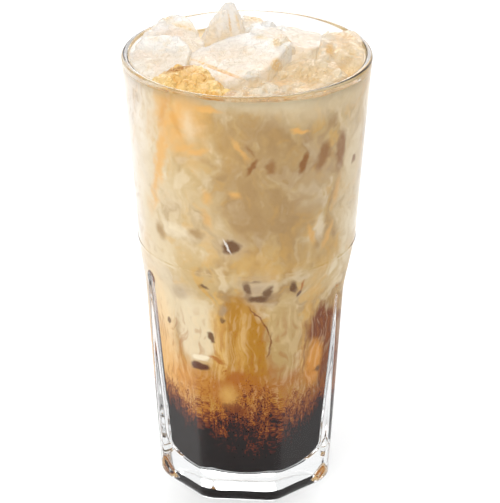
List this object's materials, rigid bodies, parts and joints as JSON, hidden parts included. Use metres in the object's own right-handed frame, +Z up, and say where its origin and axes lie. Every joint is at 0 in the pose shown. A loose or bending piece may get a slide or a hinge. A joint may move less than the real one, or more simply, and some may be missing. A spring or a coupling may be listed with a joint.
{
  "type": "iced coffee in a tall tumbler",
  "caption": "Tall eight-sided glass tumbler filled with layered iced milk coffee, dark at the foot and creamy above, with broken ice standing out of the top.",
  "frame": {"origin": "on the glass's axis, in the plane that its foot stands on", "axes": "+Z up along the glass's axis, -Y the front that the picture shows"},
  "size_m": [0.08, 0.08, 0.1587],
  "materials": {
    "clear_glass": "clear, polished",
    "dark_coffee": "dark still liquid",
    "amber_coffee": "marbled liquid",
    "milk_coffee": "milky liquid",
    "ice": "cloudy, wet"
  },
  "bodies": {
    "root": {"tumbler": "clear_glass", "dark_coffee": "dark_coffee", "amber_coffee": "amber_coffee", "milk_coffee": "milk_coffee", "ice_shard": "ice", "ice_back": "ice", "ice_left": "ice", "ice_left_front": "ice", "ice_slab": "ice", "ice_front_left": "ice", "ice_rear": "ice", "ice_right": "ice", "ice_front_right": "ice", "ice_front": "ice"}
  },
  "joints": []
}
